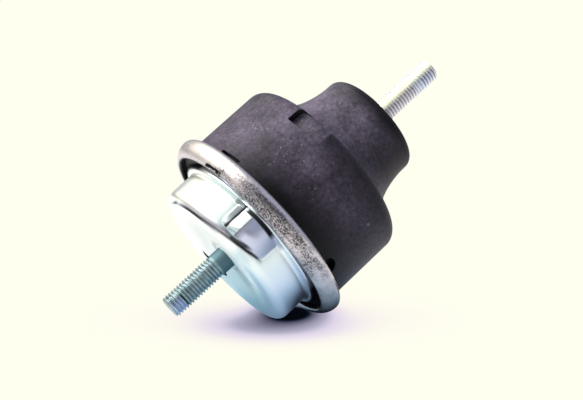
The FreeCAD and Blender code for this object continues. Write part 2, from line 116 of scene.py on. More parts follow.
# sizes of the studs; the threads run past the tips, so that they are whole there
STUD_R = 5.0
COLLAR_R = 6.0
COLLAR_CHAMFER = 1.2
HEAD_R = 9.0
HEAD_SEAT = 3.9
HEAD_TOP = 7.4
CORE_FOOT = 64.2
HEAD_FACE = 88.2
UPPER_TIP = 123.2
UPPER_THREAD = (88.6, 125.0)
LOWER_TIP = -28.6
LOWER_THREAD = (-30.0, -3.2)
PITCH = 1.5
THREAD_DEPTH = 0.92
THREAD_RUN_OUT = 1.2
SHANK_EASE = 0.12
TIP_ROUND = 0.7
CRUSHED_DEPTH = 0.35
WORN_SPOTS = 24


def turned(vector):
    """A direction or place of the view, turned into the row frame."""
    return Matrix.Rotation(math.radians(VIEW_TURN), 3, "Z") @ Vector(vector)


# the room's directions: up off the floor, back to the camera, along the picture, and away from the camera
UP = turned(FLOOR_UP).normalized()
BACK = turned(CAMERA_BACK)
ALONG = UP.cross(BACK).normalized()
AWAY = UP.cross(ALONG).normalized()


def room_direction(side):
    """A side of the room, given as (right, up off the floor, away from the camera)."""
    return (ALONG * side[0] + UP * side[1] + AWAY * side[2]).normalized()


def placed(first, second, third, origin):
    """A matrix from three axes and an origin."""
    return Matrix((
        (first.x, second.x, third.x, origin.x),
        (first.y, second.y, third.y, origin.y),
        (first.z, second.z, third.z, origin.z),
        (0, 0, 0, 1)))


def mesh_object(name, points, faces, smooth=True):
    mesh = bpy.data.meshes.new(name)
    mesh.from_pydata([tuple(p) for p in points], [], faces)
    mesh.update()
    if smooth:
        for polygon in mesh.polygons:
            polygon.use_smooth = True
    made = bpy.data.objects.new(name, mesh)
    bpy.context.scene.collection.objects.link(made)
    return made


def grid_faces(rows, columns, close_rows=False):
    """Quads over a grid whose columns run right round."""
    faces = []
    last = rows if close_rows else rows - 1
    for row in range(last):
        above = (row + 1) % rows
        for column in range(columns):
            side = (column + 1) % columns
            faces.append((
                row * columns + column, row * columns + side,
                above * columns + side, above * columns + column))
    return faces


def lathe(name, profile, columns, shape=None):
    """Turns a closed section of (radius, height) about the axis; shape may vary the radii."""
    angles = np.linspace(0, 2 * math.pi, columns, endpoint=False)
    points = []
    for radius, height in profile:
        radii = np.full(columns, radius)
        heights = np.full(columns, height)
        if shape is not None:
            radii = shape(radii, heights, angles)
        points.extend(zip(radii * np.cos(angles) * MM, radii * np.sin(angles) * MM, heights * MM))
    return mesh_object(name, points, grid_faces(len(profile), columns, True))


def arc(centre, radius, start, end, steps):
    """Points on an arc of the section, angles in degrees from +radius towards +height."""
    return [
        (centre[0] + radius * math.cos(math.radians(a)), centre[1] + radius * math.sin(math.radians(a)))
        for a in np.linspace(start, end, steps)]


def line(start, end, steps):
    return [
        (start[0] + (end[0] - start[0]) * f, start[1] + (end[1] - start[1]) * f)
        for f in np.linspace(0, 1, steps)]


def run_together(*parts):
    """Joins stretches of a section, leaving out points met twice."""
    joined = []
    for part in parts:
        for point in part:
            if not joined or math.dist(point, joined[-1]) > 1e-4:
                joined.append(point)
    return joined


def smooth_max(a, b, blend):
    """The larger of a and b, with a round of about the blend's size where they meet."""
    gap = np.clip(1 - np.abs(a - b) / (2 * blend), 0, 1)
    return np.maximum(a, b) + gap * gap * blend / 2


def boss_shape(radii, heights, angles):
    """Pushes the cup's wall out to the half-round boss, which is rounded at its foot."""
    centre = BOSS_REACH - BOSS_R
    off = (angles + math.pi) % (2 * math.pi) - math.pi
    across = centre * np.sin(off)
    inside = np.clip(BOSS_R * BOSS_R - across * across, 0, None)
    reach = np.where(np.abs(off) < 0.5, centre * np.cos(off) + np.sqrt(inside), 0)
    reach = np.where(inside > 0, reach, 0)
    lift = np.clip((heights - BOSS_FOOT) / BOSS_ROUND, 0, 1)
    drop = BOSS_ROUND * (1 - np.sqrt(np.clip(1 - (1 - lift) ** 2, 0, None)))
    reach = np.where(heights > BOSS_FOOT, reach - drop, 0)
    blended = smooth_max(radii, reach, BOSS_BLEND)
    grows = (heights > BOSS_FOOT - 0.6) & (radii > CUP_R - 0.3)
    return np.where(grows, blended, radii)


def make_cup():
    """The pressed cup: dished bottom, rounded corner, wall with the boss, step and flange."""
    seat = CUP_R - CUP_CORNER
    dish_out = seat - DISH_EDGE
    bore = CUP_R - CUP_SHEET - CUP_EASE
    fillet_z = STEP_Z - CUP_FILLET
    dish = []
    for f in np.linspace(0, 1, 14):
        dish.append((DISH_IN + (dish_out - DISH_IN) * f, DISH * (1 + math.cos(math.pi * f)) / 2))
    outer = run_together(
        [(HOLE_R, DISH)], dish, [(seat, 0.0)],
        arc((seat, CUP_CORNER), CUP_CORNER, -90, 0, 12),
        line((CUP_R, CUP_CORNER), (CUP_R, fillet_z), 24),
        arc((CUP_R + CUP_FILLET, fillet_z), CUP_FILLET, 180, 90, 6),
        line((CUP_R + CUP_FILLET, STEP_Z), (STEP_R - STEP_ROUND, STEP_Z), 3),
        arc((STEP_R - STEP_ROUND, STEP_Z + STEP_ROUND), STEP_ROUND, -90, 0, 5),
        line((STEP_R, STEP_Z + STEP_ROUND), (STEP_R, FLANGE_Z), 4),
        line((STEP_R, FLANGE_Z), (FLANGE_R, FLANGE_Z), 4),
        [(FLANGE_R, FLANGE_Z + CUP_SHEET), (STEP_R - CUP_SHEET, FLANGE_Z + CUP_SHEET)])
    inner = run_together(
        [(STEP_R - CUP_SHEET, STEP_Z + CUP_SHEET), (bore, STEP_Z + CUP_SHEET)],
        [(bore, CUP_CORNER), (seat, CUP_SHEET), (dish_out, CUP_SHEET)],
        [(DISH_IN, DISH + CUP_SHEET), (HOLE_R, DISH + CUP_SHEET)])
    return lathe("cup_skin", outer + inner, 384, boss_shape)


def make_ring():
    """The ring, rolled from a lip under the cup's flange out and up to the sleeve."""
    lip = FLANGE_R - LIP_REACH
    low = FLANGE_Z - LIP_DROP
    start = (lip + LIP_FLAT, low)
    end = (RING_R, RING_TOP - RING_ROUND)
    middle = ((start[0] + end[0]) / 2, (start[1] + end[1]) / 2)
    chord = (end[0] - start[0], end[1] - start[1])
    length = math.hypot(*chord)
    sag = math.sqrt(FLANK_ROUND ** 2 - length ** 2 / 4)
    centre = (middle[0] - chord[1] / length * sag, middle[1] + chord[0] / length * sag)
    first = math.degrees(math.atan2(start[1] - centre[1], start[0] - centre[0]))
    last = math.degrees(math.atan2(end[1] - centre[1], end[0] - centre[0]))
    bore = SLEEVE_R + RING_EASE
    section = run_together(
        [(lip, FLANGE_Z)],
        arc((lip + LIP_ROUND, low + LIP_ROUND), LIP_ROUND, 180, 270, 8),
        arc(centre, FLANK_ROUND, first, last, 14),
        arc((RING_R - RING_ROUND, RING_TOP - RING_ROUND), RING_ROUND, 0, 90, 12),
        [(bore + RING_CHAMFER, RING_TOP), (bore, RING_TOP - RING_CHAMFER), (bore, FOOT_Z)],
        [(RING_BORE, FOOT_Z), (RING_BORE, FLANGE_Z)])
    return lathe("ring_skin", section, 360)


def make_notch_rubber():
    """The rubber that fills the back of the notch, standing a little back from the sleeve's outside."""
    start, end = (math.radians(a) for a in NOTCH)
    angles = np.linspace(start, end, 25)
    profile = [
        (30.6, 61.7), (32.6, 61.0), (34.6, 60.3), (36.4, 59.5), (37.6, 58.5), (38.2, 57.2), (38.4, 55.4),
        (38.4, NOTCH_FLOOR + 0.05)]
    points = []
    for radius, height in profile:
        points.extend(
            (radius * math.cos(a) * MM, radius * math.sin(a) * MM, height * MM) for a in angles)
    columns = len(angles)
    faces = []
    for row in range(len(profile) - 1):
        for column in range(columns - 1):
            first = row * columns + column
            faces.append((first, first + columns, first + columns + 1, first + 1))
    return mesh_object("notch_rubber", points, faces)


def thread_radius(heights, angles):
    """The outside of a 60 degree thread with flat crests and roots."""
    phase = (heights / PITCH - angles / (2 * math.pi)) % 1.0
    side = np.abs(phase - 0.5) * 2
    tooth = np.clip((side - 0.18) / 0.68, 0, 1)
    return STUD_R - THREAD_DEPTH * tooth


def make_stud(name, shaft, thread, tip, seed, crush, patches=(), before=(), after=()):
    """A threaded shaft with worn crests.

    shaft and thread are the (low, high) heights of each, tip is the end that is chamfered, and crush is the
    most that a crest is worn; patches are crushed stretches of thread as (height, half height, direction in
    degrees); before and after are plain (height, radius) rows at the shaft's ends.
    """
    columns = 72
    rows_per_turn = 14
    rng = np.random.default_rng(seed)
    low, high = shaft
    rows = int((high - low) / PITCH * rows_per_turn)
    heights = np.linspace(low, high, rows)
    angles = np.linspace(0, 2 * math.pi, columns, endpoint=False)
    grid_z, grid_a = np.meshgrid(heights, angles, indexing="ij")
    wander = np.zeros_like(grid_z)
    for _ in range(WORN_SPOTS):
        z0 = rng.uniform(low, high)
        a0 = rng.uniform(0, 2 * math.pi)
        along_it = ((grid_z - z0) / rng.uniform(0.8, 2.2)) ** 2
        round_it = (np.cos(grid_a - a0) - 1) * rng.uniform(8, 40)
        wander -= rng.uniform(0.05, crush) * np.exp(-along_it + round_it)
    starts = np.clip((grid_z - thread[0]) / THREAD_RUN_OUT, 0, 1)
    fade = starts * np.clip((thread[1] - grid_z) / THREAD_RUN_OUT, 0, 1)
    radii = (STUD_R - SHANK_EASE) * (1 - fade) + thread_radius(grid_z, grid_a) * fade
    for height, half, direction in patches:
        along_it = np.exp(-((grid_z - height) / half) ** 4)
        round_it = np.exp((np.cos(grid_a - math.radians(direction)) - 1) * 2)
        radii += (STUD_R - CRUSHED_DEPTH - radii) * 0.8 * along_it * round_it
    crest = np.clip(radii - (STUD_R - 0.9), 0, 1)
    radii = np.minimum(radii + wander * crest, STUD_R - TIP_ROUND + np.abs(grid_z - tip))
    bands = [(np.full(columns, z), np.full(columns, r)) for z, r in before]
    bands += [(grid_z[row], radii[row]) for row in range(rows)]
    bands += [(np.full(columns, z), np.full(columns, r)) for z, r in after]
    points = []
    for band_z, band_r in bands:
        points.extend(zip(band_r * np.cos(angles) * MM, band_r * np.sin(angles) * MM, band_z * MM))
    faces = grid_faces(len(bands), columns)
    count = len(points)
    points.append((0, 0, bands[0][0][0] * MM))
    points.append((0, 0, bands[-1][0][0] * MM))
    top = count - columns
    for column in range(columns):
        side = (column + 1) % columns
        faces.append((side, column, count))
        faces.append((top + column, top + side, count + 1))
    return mesh_object(name, points, faces)


def make_burr():
    """Swarf left at the start of the lower thread: a thin curl on one side, a stub on the other."""
    curls = [
        [
            ((1.2, -4.7, -3.3), 0.42), ((1.6, -5.7, -3.5), 0.36),
            ((1.9, -6.8, -3.5), 0.3), ((2.0, -8.2, -3.3), 0.08)],
        [((0.6, 4.7, -2.9), 0.5), ((0.6, 5.4, -2.8), 0.48), ((0.6, 6.0, -2.8), 0.1)]]
    sides = 10
    points = []
    faces = []
    for curl in curls:
        first = len(points)
        for (x, y, z), radius in curl:
            for a in np.linspace(0, 2 * math.pi, sides, endpoint=False):
                points.append(((x + radius * math.cos(a)) * MM, y * MM, (z + radius * math.sin(a)) * MM))
        faces += [tuple(first + corner for corner in face) for face in grid_faces(len(curl), sides)]
    return mesh_object("thread_burr", points, faces)


def material(name):
    made = bpy.data.materials.new(name)
    made.use_nodes = True
    tree = made.node_tree
    return made, tree, tree.nodes["Principled BSDF"]


def node(tree, kind, **inputs):
    made = tree.nodes.new(kind)
    for key, item in inputs.items():
        made.inputs[key.replace("_", " ")].default_value = item
    return made


def linear(colour):
    """A screen colour of 0 to 255 as linear light."""
    parts = [c / 255 for c in colour]
    return tuple(c / 12.92 if c <= 0.04045 else ((c + 0.055) / 1.055) ** 2.4 for c in parts)


def maths(tree, operation, first, second=None):
    made = tree.nodes.new("ShaderNodeMath")
    made.operation = operation
    for socket, item in zip(made.inputs, (first, second)):
        if isinstance(item, bpy.types.NodeSocket):
            tree.links.new(item, socket)
        elif item is not None:
            socket.default_value = item
    return made.outputs[0]


def folded(tree, operation, factors):
    """One operation run through a row of factors."""
    total = factors[0]
    for factor in factors[1:]:
        total = maths(tree, operation, total, factor)
    return total


def product(tree, *factors):
    return folded(tree, "MULTIPLY", factors)


def largest(tree, *factors):
    return folded(tree, "MAXIMUM", factors)


def less(tree, first, second):
    """The first value less the second."""
    return maths(tree, "SUBTRACT", first, second)


def distance(tree, measure, place):
    """How far a measure is from a place in millimetres, on either side."""
    return maths(tree, "ABSOLUTE", less(tree, measure, place * MM))


def noise(tree, scale, detail, roughness, stretch=(1, 1, 1)):
    """A noise in object space."""
    place = tree.nodes.new("ShaderNodeTexCoord")
    mapping = node(tree, "ShaderNodeMapping", Scale=stretch)
    tree.links.new(place.outputs["Object"], mapping.inputs["Vector"])
    texture = node(tree, "ShaderNodeTexNoise", Scale=scale, Detail=detail, Roughness=roughness)
    tree.links.new(mapping.outputs["Vector"], texture.inputs["Vector"])
    return texture.outputs[0]


def ramp(tree, source, stops):
    """A colour ramp from (place, colour) stops."""
    made = tree.nodes.new("ShaderNodeValToRGB")
    elements = made.color_ramp.elements
    while len(elements) < len(stops):
        elements.new(0.5)
    for element, (place, colour) in zip(elements, stops):
        element.position = place
        element.color = (*colour, 1)
    tree.links.new(source, made.inputs[0])
    return made.outputs[0]


def within(tree, source, stops):
    """A grey factor along one measure in millimetres, from (millimetres, factor) stops."""
    low, high = stops[0][0], stops[-1][0]
    spread = tree.nodes.new("ShaderNodeMapRange")
    for socket, number in zip(spread.inputs[1:5], (low * MM, high * MM, 0, 1)):
        socket.default_value = number
    tree.links.new(source, spread.inputs[0])
    return ramp(tree, spread.outputs[0], [((at - low) / (high - low), (grey,) * 3) for at, grey in stops])


def boss_side(tree, x):
    """1 on the half of the mount that the boss is on."""
    return within(tree, x, [(0, 0), (1, 1)])


def measures(tree):
    """Object space x, y, z and the distance from the mount's axis."""
    place = tree.nodes.new("ShaderNodeTexCoord").outputs["Object"]
    split = tree.nodes.new("ShaderNodeSeparateXYZ")
    tree.links.new(place, split.inputs[0])
    x, y, z = split.outputs
    square = maths(tree, "ADD", maths(tree, "POWER", x, 2.0), maths(tree, "POWER", y, 2.0))
    return x, y, z, maths(tree, "SQRT", square)


def mix(tree, fraction, first, second, blend="MIX"):
    made = tree.nodes.new("ShaderNodeMix")
    made.data_type = "RGBA"
    made.blend_type = blend
    for socket, item in zip((made.inputs[0], made.inputs[6], made.inputs[7]), (fraction, first, second)):
        if isinstance(item, bpy.types.NodeSocket):
            tree.links.new(item, socket)
        else:
            socket.default_value = item
    return made.outputs[2]


def tinted(tree, colour, factor):
    """A colour multiplied by a factor."""
    return mix(tree, 1.0, colour, factor, "MULTIPLY")


def bump(tree, height, shader, strength, depth):
    made = node(tree, "ShaderNodeBump", Strength=strength, Distance=depth)
    tree.links.new(height, made.inputs["Height"])
    tree.links.new(made.outputs[0], shader.inputs["Normal"])


def matt_where(tree, shader, mask):
    """Takes the metal's shine away where the mask is 1."""
    tree.links.new(less(tree, 1.0, mask), shader.inputs["Metallic"])
    shader.inputs["Specular IOR Level"].default_value = 0.03


def rubber(name, base, dusty, shaded=None, speckled=None):
    """Moulded rubber, mottled and grainy, with pale dust; shaded and speckled change it in places."""
    made, tree, shader = material(name)
    patches = noise(tree, 60, 6, 0.7)
    grain = noise(tree, 620, 4, 0.75)
    cover = ramp(tree, patches, [(0.38, tuple(c * 0.6 for c in base)), (0.6, tuple(c * 1.3 for c in base))])
    fine = ramp(tree, grain, [(0.36, (0.5,) * 3), (0.64, (1.15,) * 3)])
    cover = tinted(tree, cover, fine)
    specks = noise(tree, 1100, 2, 0.5)
    if speckled is not None:
        specks = maths(tree, "ADD", specks, speckled(tree))
    dust = ramp(tree, specks, [(0.69, (0, 0, 0)), (0.78, (0.8, 0.8, 0.8))])
    colour = mix(tree, dust, cover, (*dusty, 1))
    if shaded is not None:
        colour = tinted(tree, colour, shaded(tree))
    tree.links.new(colour, shader.inputs["Base Color"])
    shader.inputs["Roughness"].default_value = 0.55
    shader.inputs["Specular IOR Level"].default_value = 0.2
    bump(tree, noise(tree, 300, 5, 0.7), shader, 0.4, 0.0005)
    return made


def wall_offset(tree, x, y):
    """Distance from the plane of the notch's dark wall."""
    turn = math.radians(-NOTCH_WALL)
    return maths(tree, "ADD", product(tree, x, math.sin(turn)), product(tree, y, math.cos(turn)))


def sleeve_shade(tree):
    """The sleeve is darker over the ring, at its mouth, on its flanks and on the notch's wall."""
    x, y, z, radius = measures(tree)
    low = product(
        tree,
        within(tree, z, [(21, 1), (26.5, 1), (32, 0.6), (42, 0)]),
        within(tree, y, [(-36, 0.1), (-30, 0.5), (-20, 0.8), (-8, 1), (30, 1), (38, 0.6)]))
    mouth = product(
        tree,
        within(tree, z, [(44, 0), (52, 0.4), (57, 0.7)]),
        within(tree, y, [(-8, 0), (-6, 1)]))
    flanks = within(tree, y, [(-41, 0.45), (-34, 0.25), (-26, 0), (25, 0), (33, 0.35), (41, 0.35)])
    wall = product(
        tree,
        within(tree, maths(tree, "ABSOLUTE", wall_offset(tree, x, y)), [(0.25, 1), (0.4, 0)]),
        within(tree, radius, [(41.2, 1), (41.5, 0)]),
        boss_side(tree, x))
    dark = largest(tree, low, mouth, flanks, wall)
    return ramp(tree, dark, [(0, (1, 1, 1)), (1, (0.015, 0.012, 0.02))])


def sleeve_specks(tree):
    """More dust over the front of the sleeve, most in one cluster on its left, and one pale chip."""
    x, y, z, _ = measures(tree)
    front = product(
        tree,
        within(tree, y, [(-34, 0.2), (-26, 1), (20, 1), (30, 0.2)]),
        within(tree, z, [(26, 0.1), (32, 1), (46, 1), (52, 0)]))
    cluster = product(
        tree,
        within(tree, distance(tree, y, -29.4), [(1, 1), (4, 0)]),
        within(tree, distance(tree, z, 41), [(0.5, 1), (2.5, 0)]))
    spread = product(tree, maths(tree, "ADD", front, product(tree, cluster, 2.6)), 0.03)
    chip = product(
        tree,
        within(tree, distance(tree, y, 29.2), [(0.3, 1), (0.6, 0)]),
        within(tree, distance(tree, z, 47.4), [(0.3, 1), (0.6, 0)]),
        boss_side(tree, x))
    return maths(tree, "ADD", spread, chip)


def spring_shade(tree):
    """The rubber is darker round the top edge and beyond the neck, and black behind the cut-outs."""
    _, y, z, _ = measures(tree)
    rim = product(
        tree,
        within(tree, z, [(78, 0), (82, 0.6), (85, 0.95), (88, 1)]),
        within(tree, y, [(-26, 0.4), (-12, 1)]))
    neck = product(
        tree,
        within(tree, z, [(63, 0.15), (72, 0.8), (80, 0.8)]),
        within(tree, y, [(-24, 0.3), (-12, 0.1), (2, 0), (8, 0.4), (16, 1)]))
    foot = within(tree, z, [(29, 1), (30, 0)])
    dark = largest(tree, rim, neck, foot)
    return ramp(tree, dark, [(0, (1, 1, 1)), (1, (0.02, 0.015, 0.03))])


def metal(name, base, roughness):
    """Plain metal with faint patches."""
    made, tree, shader = material(name)
    shader.inputs["Metallic"].default_value = 1.0
    patches = noise(tree, 60, 5, 0.6)
    cover = ramp(tree, patches, [(0.4, base), (0.62, tuple(c * 0.85 for c in base))])
    tree.links.new(cover, shader.inputs["Base Color"])
    rough = ramp(tree, patches, [(0.3, (roughness * 0.8,) * 3), (0.7, (roughness * 1.3,) * 3)])
    tree.links.new(rough, shader.inputs["Roughness"])
    bump(tree, noise(tree, 260, 4, 0.6), shader, 0.1, 0.0003)
    return made


def upper_zinc(name):
    """Pale zinc, with a painted highlight that burns out the lit side white and makes it glow faintly,
    painted shade in the thread roots, and bluish towards the tip on the other side.
    """
    white = (1, 1, 0.75, 1)
    pale = (0.95, 0.9, 0.97, 1)
    bluish = (0.74, 0.8, 0.98, 1)
    made, tree, shader = material(name)
    shader.inputs["Metallic"].default_value = 1.0
    _, y, z, radius = measures(tree)
    cover = mix(tree, within(tree, z, [(108, 0), (113, 0.8), (121, 0.5), (124, 0)]), pale, bluish)
    # painted shade: the thread roots are darker
    root = within(tree, radius, [(4.3, 0.55), (4.6, 0.72), (4.9, 1)])
    # painted highlight: the lit side is burnt out white
    painted_highlight = within(tree, y, [(-4.6, 0.2), (-3.6, 0.7), (-1.6, 0.7), (1.0, 0)])
    tree.links.new(mix(tree, painted_highlight, tinted(tree, cover, root), white), shader.inputs["Base Color"])
    tree.links.new(within(tree, y, [(-0.8, 0.6), (0.6, 0.42)]), shader.inputs["Roughness"])
    # the painted highlight also glows faintly, as painted light
    shader.inputs["Emission Color"].default_value = (1, 1, 0.8, 1)
    tree.links.new(product(tree, painted_highlight, 0.12), shader.inputs["Emission Strength"])
    bump(tree, noise(tree, 260, 4, 0.6), shader, 0.05, 0.0003)
    return made


def lower_zinc(name):
    """Dulled zinc: teal on the plain shank, paler and bluer towards the tip, with painted shade in the
    thread roots and on one side, and one black line of painted shade along a groove.
    """
    blue = (0.5, 0.58, 0.8, 1)
    black = (0.09, 0.14, 0.15, 1)
    teal = (0.12, 0.2, 0.23, 1)
    bright = (0.82, 0.9, 0.94, 1)
    made, tree, shader = material(name)
    shader.inputs["Metallic"].default_value = 1.0
    _, y, z, radius = measures(tree)
    patches = ramp(tree, noise(tree, 320, 5, 0.7), [(0.4, (0.6, 0.72, 0.77)), (0.6, (0.34, 0.45, 0.51))])
    # painted shade: the thread roots are darker
    root = within(tree, radius, [(4.1, 0.8), (4.6, 1)])
    # painted shade: one side of the thread is darker
    far = within(tree, y, [(-5, 0.72), (-2, 0.72), (0, 0.86), (5, 0.82)])
    cover = tinted(tree, tinted(tree, patches, root), far)
    tip = product(
        tree,
        within(tree, z, [(-28.6, 0.3), (-27, 0.7), (-23, 0.7), (-22.6, 0)]),
        within(tree, y, [(-1.5, 0), (0, 1)]))
    cover = mix(tree, tip, cover, blue)
    # painted shade: a black line along a groove on one side
    groove_shade = product(
        tree,
        within(tree, z, [(-23.1, 0), (-22.9, 1), (-22.3, 1), (-22.1, 0)]),
        within(tree, y, [(-1.6, 0), (-1, 1)]))
    cover = mix(tree, groove_shade, cover, black)
    cover = mix(tree, within(tree, z, [(-4.4, 0), (-2.6, 1)]), cover, teal)
    collar = within(tree, radius, [(4.98, 0), (5.1, 1)])
    tree.links.new(mix(tree, collar, cover, bright), shader.inputs["Base Color"])
    tree.links.new(within(tree, z, [(-4.4, 0.42), (-2.6, 0.6)]), shader.inputs["Roughness"])
    bump(tree, noise(tree, 500, 4, 0.7), shader, 0.3, 0.0003)
    return made


def painted_boss_shade(tree, x, y, z, radius):
    """Painted shade and painted reflection over the boss: grey flanks with a black line, and a black arc of
    painted shade under the flange.
    """
    across = within(tree, y, [
        (-13.2, 1), (-12.6, 0.45), (-8.9, 0.26), (-8.4, 0.02), (-7.8, 0.02), (-7.3, 1), (-3.7, 1),
        (-3.2, 0.3), (-2.2, 0.55), (0, 0.88), (5, 0.88), (8, 0.8), (10.5, 0.75), (12.6, 0.8), (13.8, 1)])
    stands_out = within(tree, radius, [(34.21, 0), (34.27, 1)])
    front = boss_side(tree, x)
    upright = within(tree, z, [(3.0, 0), (4.0, 1), (15.0, 1), (15.6, 0)])
    flank = product(tree, stands_out, upright, front, less(tree, 1.0, across))
    under_flange = within(tree, z, [(12.8, 0), (13.5, 1), (14.9, 1), (15.2, 0)])
    near = within(tree, distance(tree, y, 0), [(6.0, 1), (9.0, 0)])
    return largest(tree, flank, product(tree, under_flange, near, front, stands_out, 0.97))


def slanted_painted_line(tree, x, y, z, radius):
    """A dark line of painted reflection and shade that slants from under the boss over the corner to the
    seat, and its soft halo of painted shade.
    """
    height = within(tree, y, [
        (-30, 0), (-27.3, 0.01), (-18.4, 0.04), (-9, 0.22), (0, 0.47), (4, 0.6), (10, 0.84), (12, 0.9)])
    over = less(tree, z, product(tree, height, 6 * MM))
    amount = within(tree, y, [
        (-30.6, 0), (-29.9, 0.85), (-28.9, 0.85), (-28.3, 0.2), (-26.5, 0.6), (-24, 0.97), (-19, 0.95),
        (-15, 0.7), (-9, 0.6), (-4, 0.8), (-1, 0.97), (5, 0.97), (9, 0.8), (12, 0)])
    outside = product(tree, within(tree, radius, [(30.6, 0), (31.0, 1)]), boss_side(tree, x))
    thin = product(tree, within(tree, distance(tree, over, 0), [(0.2, 1), (0.9, 0)]), amount)
    under_boss = product(
        tree,
        within(tree, over, [(-0.4, 0), (0, 1), (1.2, 0.9), (1.8, 0)]),
        within(tree, y, [(-6, 0), (-3.5, 0.95), (3, 0.95), (7, 0)]))
    halo = product(
        tree,
        within(tree, over, [(-0.4, 0), (0, 0.65), (1, 0.5), (2.6, 0)]),
        within(tree, y, [(-28, 0), (-25, 1), (-8, 1), (-2, 0)]),
        outside)
    return product(tree, largest(tree, thin, under_boss), outside), halo


def cup_zinc(name):
    """Bright zinc, duller under the cup, with painted reflections on the bottom (white on the lit side,
    blue on the far side), a painted highlight on the left of the wall and painted shade on its right, and
    painted shade and reflection round the boss, along a slanted line and in the groove by the ring.
    """
    white = (1, 1, 1, 1)
    pale_lilac = (0.86, 0.82, 0.95, 1)
    reflected_blue = (0.62, 0.76, 0.81, 1)
    deep_lilac = (0.3, 0.26, 0.46, 1)
    sky_blue = (0.72, 0.75, 0.97, 1)
    black = (0.008, 0.008, 0.011, 1)
    made, tree, shader = material(name)
    x, y, z, radius = measures(tree)
    beside = distance(tree, y, 0)
    # painted shade: black in the groove by the ring
    groove_shade = product(
        tree, within(tree, radius, [(35.8, 0), (36.6, 1)]), within(tree, beside, [(27, 0), (33, 1)]))
    painted_line, halo = slanted_painted_line(tree, x, y, z, radius)
    # painted shade and painted reflection, drawn black and matt
    dark_marks_and_shade = largest(tree, groove_shade, painted_boss_shade(tree, x, y, z, radius), painted_line)
    patches = noise(tree, 40, 5, 0.6)
    bright = ramp(tree, patches, [(0.4, (0.82, 0.9, 0.94)), (0.62, (0.74, 0.84, 0.9))])
    # painted shade: the right side of the wall is lilac
    bright = mix(tree, within(tree, y, [(12, 0), (30, 1)]), bright, pale_lilac)
    under = within(tree, z, [(2.5, 1), (3.5, 0)])
    slant = maths(tree, "ADD", x, product(tree, z, 5.55))
    # painted reflection: the far side of the bottom is blue
    far_side = product(
        tree, under, within(tree, y, [(2, 0), (5, 1), (22, 1), (29, 0.2)]),
        within(tree, slant, [(15, 1), (16.5, 0)]))
    # painted reflection: the lit side of the bottom is white
    lit_side = product(tree, under, within(tree, y, [(-1, 1), (3, 0)]))
    cover = mix(tree, lit_side, mix(tree, far_side, bright, reflected_blue), white)
    # painted highlight: the left side of the wall is white
    cover = mix(tree, within(tree, y, [(-31, 1), (-24, 0)]), cover, white)
    # painted shade: the halo round the slanted line
    cover = mix(tree, halo, cover, deep_lilac)
    # painted reflection: the boss's front is sky blue
    boss_front = product(
        tree,
        within(tree, radius, [(34.21, 0), (34.5, 1)]),
        within(tree, y, [(-3.6, 0), (-3.0, 1), (12, 1), (13.8, 0)]),
        within(tree, z, [(15.0, 1), (15.4, 0)]),
        boss_side(tree, x))
    cover = mix(tree, boss_front, cover, sky_blue)
    tree.links.new(mix(tree, dark_marks_and_shade, cover, black), shader.inputs["Base Color"])
    matt_where(tree, shader, dark_marks_and_shade)
    behind_stud = product(
        tree, within(tree, beside, [(7, 0.75), (14, 0)]), within(tree, z, [(1.6, 1), (3.5, 0)]))
    rough = largest(
        tree,
        within(tree, z, [(0.3, 0.3), (1, 0.18), (5, 0.15)]),
        within(tree, radius, [(15, 0.8), (21, 0.55), (27, 0.3)]),
        behind_stud,
        product(tree, boss_front, 0.42))
    tree.links.new(rough, shader.inputs["Roughness"])
    bump(tree, noise(tree, 260, 4, 0.6), shader, 0.05, 0.0003)
    return made


